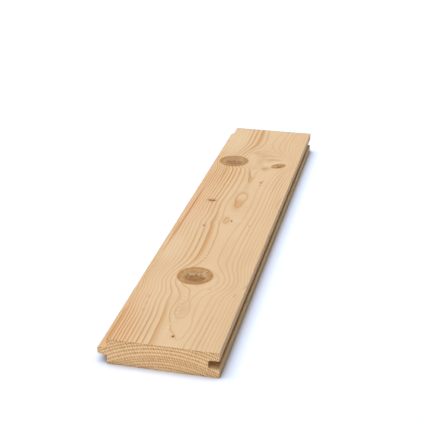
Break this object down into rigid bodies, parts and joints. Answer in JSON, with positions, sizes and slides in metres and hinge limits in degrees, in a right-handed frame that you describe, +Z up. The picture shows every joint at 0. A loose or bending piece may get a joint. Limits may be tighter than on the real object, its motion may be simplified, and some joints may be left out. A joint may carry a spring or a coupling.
{
  "type": "tongue and groove board",
  "caption": "Planed softwood floorboard with a rounded tongue along one long edge, a matching groove along the other and square-sawn ends.",
  "frame": {"origin": "middle of the underside, under the middle of the overall width with the tongue included", "axes": "+Y along the grain and the length; +X across the board towards the groove, -X towards the tongue; +Z up, out of the planed face"},
  "size_m": [0.1216, 0.613, 0.028],
  "materials": {
    "planed_softwood": "planed, unfinished"
  },
  "bodies": {
    "root": {"board": "planed_softwood"}
  },
  "joints": []
}
